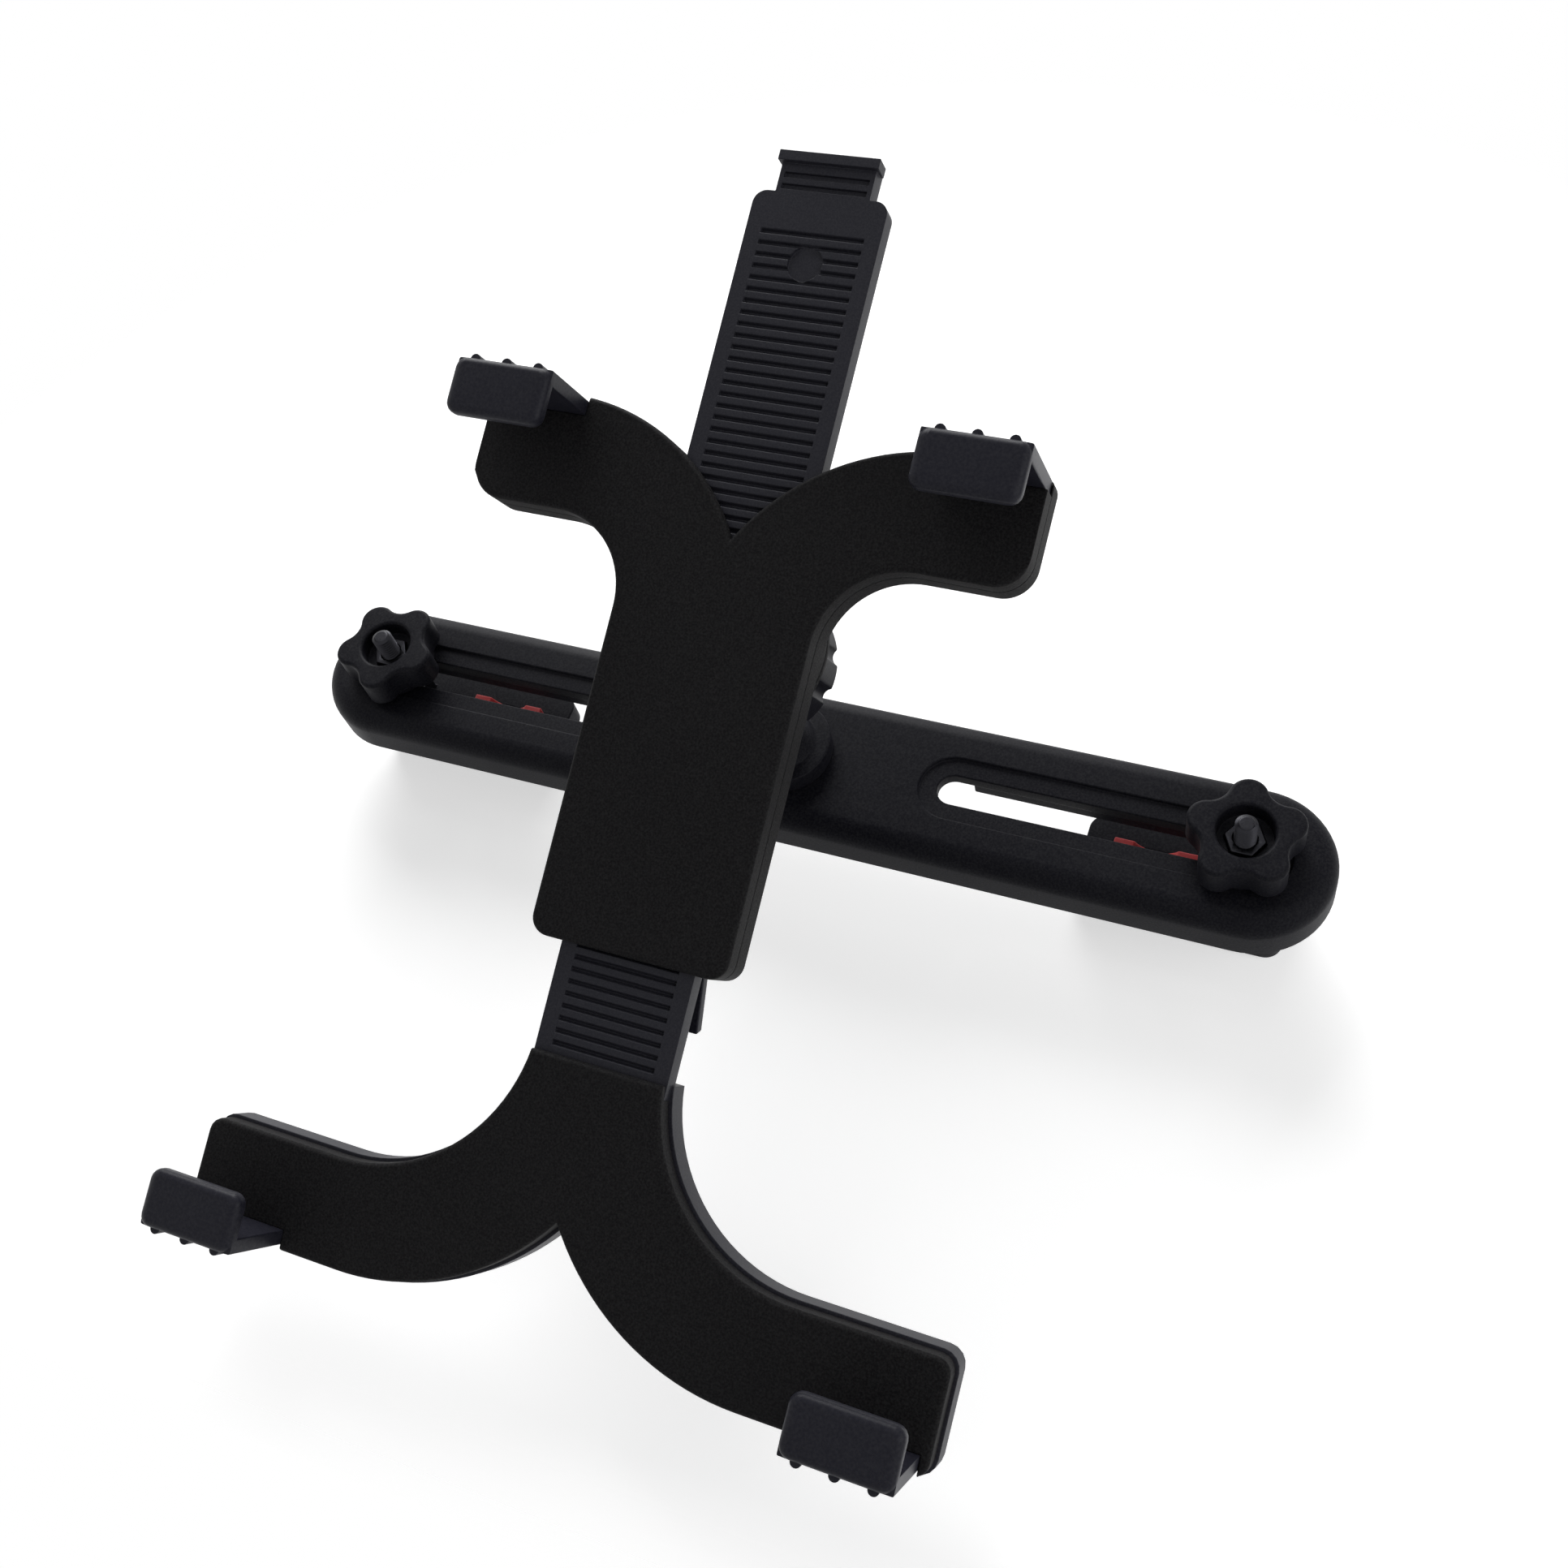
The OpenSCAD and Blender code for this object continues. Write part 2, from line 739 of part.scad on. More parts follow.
// Side profile of the lever as (v, z) points
function lever_side() = [
    [pin_v - 2.6, pin_z - 1], [pin_v - 2.6, nose_z - 1.5], [pin_v, nose_z + 1.5],
    [pin_v + 2.4, nose_z], [pin_v + hub_r, pin_z], [pin_v + hub_r, -body_low + 6],
    [pin_v + hub_r + tab_flare, -tab_low], [pin_v + hub_r + tab_flare - 2.2, -tab_low - 0.8],
    [pin_v + 1.4, -body_low + 4.6], [pin_v + 0.7, pin_z - 2.4]];

module release_lever() {
    color(hook_c)
        at_holder()
            difference() {
                union() {
                    along_x(lever_w)
                        polygon(lever_side());
                    translate([-lever_w / 2, pin_v, pin_z])
                        rotate([0, 90, 0])
                            cylinder(r = hub_r, h = lever_w);
                    along_x(nose_w)
                        polygon([[pin_v - 2, nose_z - 4], [strap_back + rack_gap, nose_z - 0.5],
                                 [strap_back + rack_gap, nose_z + 0.3], [pin_v - 0.5, nose_z + 1.2]]);
                }
                translate([-lever_w / 2 - 1, pin_v, pin_z])
                    rotate([0, 90, 0])
                        cylinder(r = pin_r + run_gap, h = lever_w + 2);
                translate([-spring_w / 2, pin_v - 6, pin_z - spring_leg - 1.5])
                    cube([spring_w, 8.5, spring_leg + 5]);
            }
}

module lever_pin() {
    color(steel_c)
        at_holder()
            translate([-pin_l / 2, pin_v, pin_z])
                rotate([0, 90, 0])
                    cylinder(r = pin_r, h = pin_l);
}

module lever_spring() {
    color(steel_c)
        at_holder()
            translate([0, pin_v, pin_z]) {
                rotate([0, 90, 0])
                    rotate_extrude($fn = 48)
                        for (i = [0:coils - 1])
                            translate([coil_r, (i - (coils - 1) / 2) * wire_r * 1.9])
                                circle(wire_r, $fn = 12);
                for (s = [-1, 1])
                    translate([s * (coils - 1) / 2 * wire_r * 1.9, s * coil_r, 0])
                        rotate([s > 0 ? 180 - spring_lean : 180, 0, 0])
                            cylinder(r = wire_r * 0.98, h = spring_leg, $fn = 16);
            }
}

// Saw-tooth comb along z, for the grooves of the strap: tips at v = 0, roots at v = d
function comb(z0, n, d) = concat([[-1, z0]],
    [for (i = [0:n - 1]) each [[0, z0 + i * tooth_pitch], [d, z0 + i * tooth_pitch + groove_t * 0.35],
        [d, z0 + i * tooth_pitch + groove_t * 0.65], [0, z0 + i * tooth_pitch + groove_t]]],
    [[-1, z0 + (n - 1) * tooth_pitch + groove_t]]);

module strap_base() {
    color(strap_c)
        at_holder() {
            strap();
            base_shell();
        }
}

module strap() {
    lo = -panel_top - 9;
    teeth = floor((strap_top + panel_top - 8) / tooth_pitch);
    difference() {
        union() {
            translate([-strap_w / 2, strap_v, lo])
                cube([strap_w, strap_t, strap_top - lo - 3]);
            translate([-strap_w / 2 + 3, strap_v, strap_top - 4])
                cube([strap_w - 6, strap_t, 4]);
            for (s = [-1, 1])
                rod_y(3, strap_v, strap_back, s * (strap_w / 2 - 3), strap_top - 3);
            translate([-tongue_w / 2, strap_v, strap_top - 1])
                cube([tongue_w, strap_t, tongue_l + 1]);
            translate([-tongue_w / 2 - 0.7, strap_v - 1.3, strap_top + tongue_l - 2.2])
                cube([tongue_w + 1.4, strap_t, 2.2]);
        }
        along_x(groove_w)
            translate([strap_v, 0])
                polygon(comb(-panel_top + 1.5, teeth, tooth_d));
        along_x(rack_w)
            mirror([1, 0])
                translate([-strap_back, 0])
                    polygon(comb(-panel_top + 1.5, teeth, rack_d));
        for (i = [0:1])
            translate([-tongue_w / 2 + 1, strap_v - 1, strap_top + i * tooth_pitch + 0.6])
                cube([tongue_w - 2, 1 + tooth_d, groove_t]);
        post_v(gate_r, strap_v - 1, strap_v + tooth_d, [0, gate_z]);
    }
}

// Hollow rear half of the lower Y
module base_shell() {
    difference() {
        prism(base_ring(-rim_out, -panel_top), seam_v + seam_gap, base_back);
        difference() {
            prism(base_ring(wall - rim_out, -panel_top - 9), seam_v, base_back - wall);
            for (at = panel_screws_at)
                post_v(boss_post_r, seam_v + seam_gap, base_back, at);
        }
        base_hook_pockets(seam_v, base_back - wall);
        for (at = panel_screws_at) {
            post_v(screw_r + screw_gap, seam_v - 1, base_back + 1, at);
            post_v(screw_head_r + screw_gap, base_back - screw_head_t, base_back + 1, at);
        }
    }
}

// Pockets in the base's edge that take the shelves of the lower hooks
module base_hook_pockets(v0, v1) {
    for (s = [-1, 1])
        translate([s * base_hook_x - hook_w / 2 - pocket_gap, v0,
                   -base_out + hook_drop - 2 * lip_t + lip_t + pocket_gap])
            cube([hook_w + 2 * pocket_gap, v1 - v0, 2 * lip_t]);
}

module base_panel() {
    color(shell_c)
        at_holder()
            difference() {
                union() {
                    difference() {
                        prism(base_ring(0, -panel_top), 0, seam_v);
                        prism(base_ring(wall, -panel_top - 8), wall, seam_v + 1);
                    }
                    for (at = panel_screws_at)
                        post_v(boss_post_r, wall - eps, seam_v, at);
                }
                translate([-strap_w / 2 - 0.2, wall, -panel_top - 9.2])
                    cube([strap_w + 0.4, 10, 20]);
                base_hook_pockets(-1, seam_v + 1);
                for (at = panel_screws_at)
                    post_v(screw_r + screw_gap, wall + 0.4, seam_v + 1, at);
            }
}

module panel_screws() {
    color(steel_c)
        at_holder()
            for (at = panel_screws_at)
                screw_v(screw_r, screw_head_r, screw_head_t, wall + 0.6, base_back - screw_head_t, at);
}

module lower_left_hook() {
    color(hook_c)
        at_holder()
            translate([-base_hook_x, 0, -base_out + hook_drop])
                mirror([0, 0, 1])
                    hook();
}

module lower_right_hook() {
    color(hook_c)
        at_holder()
            translate([base_hook_x, 0, -base_out + hook_drop])
                mirror([0, 0, 1])
                    hook();
}

// The clamp pieces are drawn on the right and mirrored for the left

module jaw() {
    difference() {
        union() {
            translate([0, 0, jaw_up])
                plate_y(jaw_in_x, jaw_out_x, jaw_h, jaw_y, jaw_back, 4);
            translate([jaw_out_x - heel_l, heel_y, -heel_h / 2])
                cube([heel_l - 2, jaw_y - heel_y + 1, heel_h]);
        }
        translate([post_x - pad_l / 2 - 0.1, jaw_y - 1, -pad_h / 2 - 0.1])
            cube([pad_l + 0.2, pocket_d + 1, pad_h + 0.2]);
        rod_y(bolt_d / 2 + 0.1, heel_y - 1, jaw_back + 1, bolt_x);
        hex_y(head_af + 0.2, head_y, jaw_back + 1, bolt_x);
    }
}

module left_jaw() {
    color(bar_c)
        mirror([1, 0, 0])
            jaw();
}

module right_jaw() {
    color(bar_c)
        jaw();
}

module pad() {
    difference() {
        translate([post_x - pad_l / 2, pad_front, -pad_h / 2])
            cube([pad_l, pad_t, pad_h]);
        translate([post_x, 0, -pad_h])
            cylinder(r = post_r, h = 2 * pad_h);
    }
}

module left_pad() {
    color(pad_c)
        mirror([1, 0, 0])
            pad();
}

module right_pad() {
    color(pad_c)
        pad();
}

module bolt() {
    rod_y(bolt_d / 2, bolt_tip + 0.5, head_y + eps, bolt_x);
    translate([bolt_x, bolt_tip, 0])
        rotate([-90, 0, 0])
            cylinder(r1 = bolt_d / 2 - 0.5, r2 = bolt_d / 2, h = 0.5);
    hex_y(head_af, head_y, head_y + head_t, bolt_x);
}

module left_bolt() {
    color(steel_c)
        mirror([1, 0, 0])
            bolt();
}

module right_bolt() {
    color(steel_c)
        bolt();
}

module washer() {
    difference() {
        union() {
            rod_y(washer_r, washer_y, washer_y + washer_t, bolt_x);
            stadium(bolt_x - key_l / 2, bolt_x + key_l / 2, slot_h - 0.5, washer_y,
                washer_y + washer_t + key_t);
        }
        rod_y(bolt_d / 2 + 0.1, washer_y - 1, washer_y + 10, bolt_x);
    }
}

module left_washer() {
    color(steel_c)
        mirror([1, 0, 0])
            washer();
}

module right_washer() {
    color(steel_c)
        washer();
}

// Five rods round the knob's axis
module around_knob(r, at, turn, y0, y1) {
    for (i = [0:4])
        rod_y(r, y0, y1, bolt_x + at * cos(turn + 72 * i), at * sin(turn + 72 * i));
}

module knob(turn) {
    difference() {
        union() {
            difference() {
                rod_y(core_r, knob_face, knob_y - skirt_t, bolt_x);
                around_knob(valley_r, valley_at, turn + 36, knob_face - 1, knob_y);
            }
            around_knob(lobe_r, lobe_at, turn, knob_face, knob_y - skirt_t);
            rod_y(skirt_r, knob_y - skirt_t - 1, knob_y, bolt_x);
        }
        rod_y(well_r, knob_face - 1, knob_face + well_d, bolt_x);
        hex_y(nut_af + 0.1, knob_face, nut_y + nut_t, bolt_x);
        rod_y(bolt_d / 2 + 0.1, knob_face, knob_y + 1, bolt_x);
    }
}

module left_knob() {
    color(bar_c)
        mirror([1, 0, 0])
            knob(left_turn);
}

module right_knob() {
    color(bar_c)
        knob(right_turn);
}

module nut() {
    difference() {
        hex_y(nut_af, nut_y, nut_y + nut_t, bolt_x);
        rod_y(bolt_d / 2 + run_gap, nut_y - 1, nut_y + nut_t + 1, bolt_x);
    }
}

module left_nut() {
    color(steel_c)
        mirror([1, 0, 0])
            nut();
}

module right_nut() {
    color(steel_c)
        nut();
}

crossbar();
ball_post();
post_screws();
friction_cup();
socket_housing();
lock_ring();
retainer_ring();
retainer_screws();
rear_cover();
front_cover();
cover_screws();
upper_left_hook();
upper_right_hook();
release_lever();
lever_pin();
lever_spring();
strap_base();
base_panel();
panel_screws();
lower_left_hook();
lower_right_hook();
left_jaw();
right_jaw();
left_pad();
right_pad();
left_bolt();
right_bolt();
left_washer();
right_washer();
left_knob();
right_knob();
left_nut();
right_nut();
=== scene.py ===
"""Headrest tablet mount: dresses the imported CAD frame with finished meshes, materials and a studio."""

import json
from math import pi, radians

import bmesh
import bpy
from mathutils import Matrix, Vector

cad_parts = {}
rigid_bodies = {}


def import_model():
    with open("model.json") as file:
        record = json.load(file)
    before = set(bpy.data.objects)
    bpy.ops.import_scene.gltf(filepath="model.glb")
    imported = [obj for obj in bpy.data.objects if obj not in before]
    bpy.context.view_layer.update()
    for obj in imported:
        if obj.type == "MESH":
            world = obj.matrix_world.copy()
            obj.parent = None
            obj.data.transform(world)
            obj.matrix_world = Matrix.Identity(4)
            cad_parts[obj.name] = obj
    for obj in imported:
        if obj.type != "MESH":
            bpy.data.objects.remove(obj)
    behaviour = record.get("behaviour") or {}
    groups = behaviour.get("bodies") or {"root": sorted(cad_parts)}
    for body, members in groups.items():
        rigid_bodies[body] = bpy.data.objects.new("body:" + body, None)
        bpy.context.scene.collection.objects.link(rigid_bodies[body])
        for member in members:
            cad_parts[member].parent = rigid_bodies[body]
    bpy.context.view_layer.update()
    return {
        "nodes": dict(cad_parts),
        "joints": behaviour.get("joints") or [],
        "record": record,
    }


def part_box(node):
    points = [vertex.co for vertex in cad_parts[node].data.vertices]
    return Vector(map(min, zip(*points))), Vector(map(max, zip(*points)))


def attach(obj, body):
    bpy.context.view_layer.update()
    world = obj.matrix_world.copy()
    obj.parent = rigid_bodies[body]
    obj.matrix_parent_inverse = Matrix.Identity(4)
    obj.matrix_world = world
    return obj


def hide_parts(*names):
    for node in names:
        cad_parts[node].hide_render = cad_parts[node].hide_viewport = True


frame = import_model()

bl_info = {
    "name": "Headrest Tablet Mount",
    "version": (1, 0, 0),
    "blender": (4, 5, 0),
    "location": "View3D > Sidebar > Mount",
    "description": "Finishes the headrest tablet mount and sets up its studio",
    "category": "Object",
}

NODES = frame["nodes"]
BODY = {node: body for body, nodes in frame["record"]["behaviour"]["bodies"].items() for node in nodes}
SLOT = {part["node"]: part["material_slot"] for part in frame["record"]["subparts"]}
JOINT = {joint["name"]: joint for joint in frame["joints"]}
BACKWARD = Vector(JOINT["holder_turn"]["axis"]).normalized()
TOWARDS_SEAT = Vector((0, 1, 0))
HOOKS = ("upper_left_hook", "upper_right_hook", "lower_left_hook", "lower_right_hook")

MM = 0.001
# Meshes are worked on a bench at 1000 to 1, where one Blender unit is a millimetre. The sizes from NEAR
# to THREAD_START are in those millimetres.
BENCH = 1000.0
NEAR = 0.03  # points this close to a plane lie in it
SAME = 0.002  # points this close are one
RIM_GAP = 0.2  # neighbours on a rim closer than this become one before it is rounded
POCKET_MARGIN = 0.8  # how far round a hook the pocket that it sits in reaches
FIN_ACROSS = 61.15  # the thin fin beside a hook pocket starts this far from the middle
FIN_LEVEL = 61.69  # height of the pocket's floor along the holder
RECESS_SPAN, RECESS_WIDTH, RECESS_DEPTH = 2.2, 0.6, 0.8  # cross recess of a small screw
RECESS_TAPER = 0.45  # width of its floor, of its width at the top
NECK = 0.25  # length of the slope from a bolt's shank to the root of its thread
THREAD_START = 0.15  # the thread starts this far from the bolt's tip
THREAD_STEPS = 28  # points in one turn of the thread

FLAT = radians(0.4)  # faces that meet at less than this are one face
SHARP = 32  # degrees between two faces that a mould would round
BLUNT = 46  # the same, where there is little room
TURNED = radians(50)  # a rim's edges turn by more than this
SMOOTH = radians(38)  # faces that meet at less than this are shaded as one
RIM_ROWS = 4  # faces across a rounded rim
LEAST_LEFT = 0.02  # share of a short edge that a rounding beside it leaves

# The photograph's camera, in metres, fitted to the outlines in it
CAMERA_PLACE = (0.13175, -0.35948, -0.18140)
CAMERA_ACROSS = Vector((0.923807, 0.177903, 0.339016))
CAMERA_UP = Vector((-0.210515, -0.503583, 0.837907))
SENSOR_MM = 36

# The paper sheet touches the jaws' backs. It ends softly where the strap runs out past it.
SHEET_PLACE = (0, 0.0137, -0.012)
SHEET_FACING = Vector((0, -0.9925, 0.1222))
SHEET_GLOW = 0.58  # what the lamps leave to full white
SHEET_ENDS_AT = (0.24, 0.34)  # distance from the middle, and height below, where it fades into the world
SHEET_ENDS_BELOW = (-0.157, -0.182)
AIR_ON_THE_MOUNT = 0.16  # strength of the world as a light, where the background's is 1


# Sizes and colours a user may change


class MountFinish(bpy.types.PropertyGroup):
    """Colours and edge sizes of the mount"""

    shell: bpy.props.StringProperty(
        name="Cover colour", description="Grained covers", default="#121113")
    strap: bpy.props.StringProperty(
        name="Strap colour", description="Satin strap and base", default="#27272f")
    bar: bpy.props.StringProperty(
        name="Bar colour", description="Satin crossbar and knobs", default="#111118")
    hook: bpy.props.StringProperty(
        name="Hook colour", description="Smooth hooks and lever", default="#20202a")
    steel: bpy.props.StringProperty(
        name="Steel colour", description="Black zinc screws and bolts", default="#28282c")
    pad: bpy.props.StringProperty(
        name="Pad colour", description="Rubber clamp pads", default="#b5191d")
    edge: bpy.props.FloatProperty(
        name="Edge radius", description="Rounding of moulded edges", default=0.35 * MM,
        unit="LENGTH", subtype="DISTANCE")
    rim: bpy.props.FloatProperty(
        name="Rim radius", description="Rounding of the covers' outer rims", default=1.0 * MM,
        unit="LENGTH", subtype="DISTANCE")
    pitch: bpy.props.FloatProperty(
        name="Thread pitch", description="Pitch of the clamp bolts", default=0.8 * MM,
        unit="LENGTH", subtype="DISTANCE")
    grain: bpy.props.FloatProperty(
        name="Grain width", description="Spark-eroded grain of the covers", default=0.45 * MM,
        unit="LENGTH", subtype="DISTANCE")


class MountStage(bpy.types.PropertyGroup):
    """Camera and light of the studio"""

    lens: bpy.props.FloatProperty(
        name="Lens", description="Focal length in millimetres", default=39.15, unit="CAMERA")
    key: bpy.props.FloatProperty(
        name="Key light", description="Power of the overhead softbox", default=14.0, unit="POWER")
    fill: bpy.props.FloatProperty(
        name="Fill light", description="Power of the side fill", default=3.0, unit="POWER")
    rear: bpy.props.FloatProperty(
        name="Rear light", description="Power of the rear fill", default=6.0, unit="POWER")


# Materials


def linear(code):
    """An sRGB hex colour as linear RGBA"""
    channels = [int(code[i:i + 2], 16) / 255 for i in (1, 3, 5)]
    return [c / 12.92 if c <= 0.04045 else ((c + 0.055) / 1.055) ** 2.4 for c in channels] + [1.0]


def mixed(code, other, share):
    """A share of the way from one sRGB hex colour to another, as linear RGBA"""
    a, b = linear(code), linear(other)
    return [x + (y - x) * share for x, y in zip(a, b)]


def add_node(tree, kind, values=None, links=None, **settings):
    """Adds a node, sets it up and joins its inputs"""
    made = tree.nodes.new(kind)
    for key, value in settings.items():
        setattr(made, key, value)
    for key, value in (values or {}).items():
        made.inputs[key].default_value = value
    for key, source in (links or {}).items():
        tree.links.new(source, made.inputs[key])
    return made


def new_material(name):
    """The node tree of a new material, and its Object coordinates"""
    material = bpy.data.materials.new(name)
    material.use_nodes = True
    tree = material.node_tree
    tree.nodes.clear()
    return tree, add_node(tree, "ShaderNodeTexCoord").outputs["Object"]


def ranged(tree, value, start, end, least=0.0, most=1.0):
    """A value's way from start to end, as one from least to most"""
    return add_node(tree, "ShaderNodeMapRange",
                    {"From Min": start, "From Max": end, "To Min": least, "To Max": most},
                    {"Value": value}).outputs["Result"]


def finish_material(tree, shader):
    """Joins a shader to the material's output"""
    add_node(tree, "ShaderNodeOutputMaterial", links={"Surface": shader.outputs["BSDF"]})


def moulded(name, colour, roughness, grain, depth, shine, speck=0.12):
    """Injection moulded plastic: grain width and depth in metres, patchy gloss and specks of a darker tone"""
    tree, place = new_material(name)
    fine = add_node(tree, "ShaderNodeTexNoise", {"Scale": 1 / grain, "Detail": 2.0, "Roughness": 0.55},
                    {"Vector": place})
    cells = add_node(tree, "ShaderNodeTexVoronoi", {"Scale": 0.8 / grain, "Randomness": 1.0},
                     {"Vector": place})
    patch = add_node(tree, "ShaderNodeTexNoise", {"Scale": 1 / (38 * MM), "Detail": 3.0}, {"Vector": place})
    height = add_node(tree, "ShaderNodeMath", links={0: fine.outputs["Fac"], 1: cells.outputs["Distance"]},
                      operation="ADD")
    shade = ranged(tree, fine.outputs["Fac"], 0.35, 0.7)
    tone = add_node(tree, "ShaderNodeMix",
                    {"A": mixed(colour, "#000000", speck), "B": mixed(colour, "#ffffff", speck * 0.1)},
                    {"Factor": shade}, data_type="RGBA")
    cloud = ranged(tree, patch.outputs["Fac"], 0.3, 0.7, roughness - 0.04, roughness + 0.05)
    bump = add_node(tree, "ShaderNodeBump", {"Strength": 1.0, "Distance": depth},
                    {"Height": height.outputs[0]})
    shader = add_node(tree, "ShaderNodeBsdfPrincipled", {"IOR": 1.53, "Specular IOR Level": shine},
                      {"Base Color": tone.outputs["Result"], "Roughness": cloud,
                       "Normal": bump.outputs["Normal"]})
    finish_material(tree, shader)


def black_zinc(name, colour):
    """Black zinc plated steel: a dark metal, soft sheen broken by fine drawn marks"""
    tree, place = new_material(name)
    fine = add_node(tree, "ShaderNodeTexNoise", {"Scale": 1 / (0.5 * MM), "Detail": 3.0}, {"Vector": place})
    cloud = ranged(tree, fine.outputs["Fac"], 0.3, 0.7, 0.26, 0.42)
    bump = add_node(tree, "ShaderNodeBump", {"Strength": 1.0, "Distance": 0.01 * MM},
                    {"Height": fine.outputs["Fac"]})
    shader = add_node(tree, "ShaderNodeBsdfPrincipled", {"Base Color": linear(colour), "Metallic": 0.9},
                      {"Roughness": cloud, "Normal": bump.outputs["Normal"]})
    finish_material(tree, shader)


def moulded_rubber(name, colour):
    """Moulded silicone rubber: matt, faint skin of dust that lifts the raised grain"""
    tree, place = new_material(name)
    fine = add_node(tree, "ShaderNodeTexNoise", {"Scale": 1 / (0.45 * MM), "Detail": 2.0}, {"Vector": place})
    dust = add_node(tree, "ShaderNodeTexNoise", {"Scale": 1 / (7 * MM), "Detail": 4.0}, {"Vector": place})
    shade = ranged(tree, dust.outputs["Fac"], 0.45, 0.8, 0.0, 0.5)
    tone = add_node(tree, "ShaderNodeMix", {"A": linear(colour), "B": mixed(colour, "#ffffff", 0.06)},
                    {"Factor": shade}, data_type="RGBA")
    bump = add_node(tree, "ShaderNodeBump", {"Strength": 1.0, "Distance": 0.03 * MM},
                    {"Height": fine.outputs["Fac"]})
    shader = add_node(tree, "ShaderNodeBsdfPrincipled", {"Roughness": 0.7, "Sheen Weight": 0.15},
                      {"Base Color": tone.outputs["Result"], "Normal": bump.outputs["Normal"]})
    finish_material(tree, shader)


def materials():
    """The six finishes by the record's slot names, made once"""
    look = bpy.context.scene.mount_finish
    made = bpy.data.materials
    if "Grained ABS" not in made:
        # Spark-eroded ABS of the covers: dull, with a grain that breaks up every reflection
        moulded("Grained ABS", look.shell, 0.64, look.grain, 0.022 * MM, 0.07, 0.16)
        # Satin ABS of the strap: softer gloss, so that each tooth catches a line of light
        moulded("Satin strap ABS", look.strap, 0.44, 0.4 * MM, 0.008 * MM, 0.13)
        # Satin ABS of the bar and knobs: a broad soft highlight along the rounded edges
        moulded("Satin bar ABS", look.bar, 0.46, 0.5 * MM, 0.008 * MM, 0.06)
        # Smooth nylon of the hooks and lever: the glossiest plastic here, still no mirror
        moulded("Smooth nylon", look.hook, 0.38, 0.6 * MM, 0.006 * MM, 0.11)
        black_zinc("Black zinc steel", look.steel)
        moulded_rubber("Moulded rubber", look.pad)
    return {"shell_plastic": made["Grained ABS"], "strap_plastic": made["Satin strap ABS"],
            "bar_plastic": made["Satin bar ABS"], "hook_plastic": made["Smooth nylon"],
            "black_steel": made["Black zinc steel"], "red_rubber": made["Moulded rubber"]}


# Mesh work


def activate(obj):
    """Makes obj the one selected and active object"""
    bpy.ops.object.select_all(action="DESELECT")
    obj.hide_set(False)
    obj.select_set(True)
    bpy.context.view_layer.objects.active = obj


def settle(obj, node):
    """Takes a piece from the bench to the frame, where it stands for its node"""
    add_modifier(obj, "TRIANGULATE", min_vertices=5)
    obj.scale = (1 / BENCH,) * 3
    bpy.ops.object.transform_apply(location=True, rotation=True, scale=True)
    bpy.ops.object.shade_smooth_by_angle(angle=SMOOTH)
    add_modifier(obj, "WEIGHTED_NORMAL", weight=50, keep_sharp=True)
    obj.data.materials.clear()
    obj.data.materials.append(materials()[SLOT[node]])
    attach(obj, BODY[node])
    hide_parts(node)


def merged_copy(node):
    """A copy of a CAD node on the bench, with its loose triangles joined into clean faces"""
    activate(NODES[node])
    bpy.ops.object.duplicate()
    copy = bpy.context.view_layer.objects.active
    copy.name = copy.data.name = "finished_" + node
    if copy.parent is not None:
        bpy.ops.object.parent_clear(type="CLEAR_KEEP_TRANSFORM")
    copy.scale = (BENCH,) * 3
    bpy.ops.object.transform_apply(location=True, rotation=True, scale=True)
    bpy.ops.object.mode_set(mode="EDIT")
    bpy.ops.mesh.select_all(action="SELECT")
    bpy.ops.mesh.remove_doubles(threshold=SAME)
    bpy.ops.mesh.dissolve_limited(angle_limit=FLAT)
    bpy.ops.object.mode_set(mode="OBJECT")
    return copy


def add_modifier(obj, kind, **settings):
    """Adds a modifier and applies it"""
    activate(obj)
    modifier = obj.modifiers.new(kind.title(), kind)
    for key, value in settings.items():
        setattr(modifier, key, value)
    bpy.ops.object.modifier_apply(modifier=modifier.name)


def in_hook_pocket(edge):
    """Whether a hook covers this rim edge, so that it stays as the pocket needs it"""
    for hook in HOOKS:
        low, high = (Vector(corner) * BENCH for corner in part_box(hook))
        if all(low[i] - POCKET_MARGIN < vert.co[i] < high[i] + POCKET_MARGIN
               for vert in edge.verts for i in range(3)):
            return True
    return False


def merge_level(obj, direction, level):
    """Joins the close points of obj in the plane across direction at level"""
    activate(obj)
    bpy.ops.object.mode_set(mode="EDIT")
    bpy.ops.mesh.select_mode(type="VERT")
    bpy.ops.mesh.select_all(action="DESELECT")
    mesh = bmesh.from_edit_mesh(obj.data)
    for vert in mesh.verts:
        vert.select_set(abs(vert.co.dot(direction) - level) < NEAR)
    bmesh.update_edit_mesh(obj.data)
    bpy.ops.mesh.remove_doubles(threshold=RIM_GAP)
    bpy.ops.object.mode_set(mode="OBJECT")


def round_rim(obj, direction, radius):
    """Rounds the outer edges of the flat face of obj that looks against direction"""
    level = min(vert.co.dot(direction) for vert in obj.data.vertices)
    merge_level(obj, direction, level)
    bpy.ops.object.mode_set(mode="EDIT")
    bpy.ops.mesh.select_mode(type="EDGE")
    bpy.ops.mesh.select_all(action="DESELECT")
    mesh = bmesh.from_edit_mesh(obj.data)
    for edge in mesh.edges:
        in_plane = all(abs(vert.co.dot(direction) - level) < NEAR for vert in edge.verts)
        if in_plane and len(edge.link_faces) == 2 and edge.calc_face_angle_signed(0) > TURNED:
            edge.select_set(not in_hook_pocket(edge))
    bmesh.update_edit_mesh(obj.data)
    bpy.ops.mesh.bevel(offset=radius, segments=RIM_ROWS, affect="EDGES", clamp_overlap=False)
    bpy.ops.object.mode_set(mode="OBJECT")


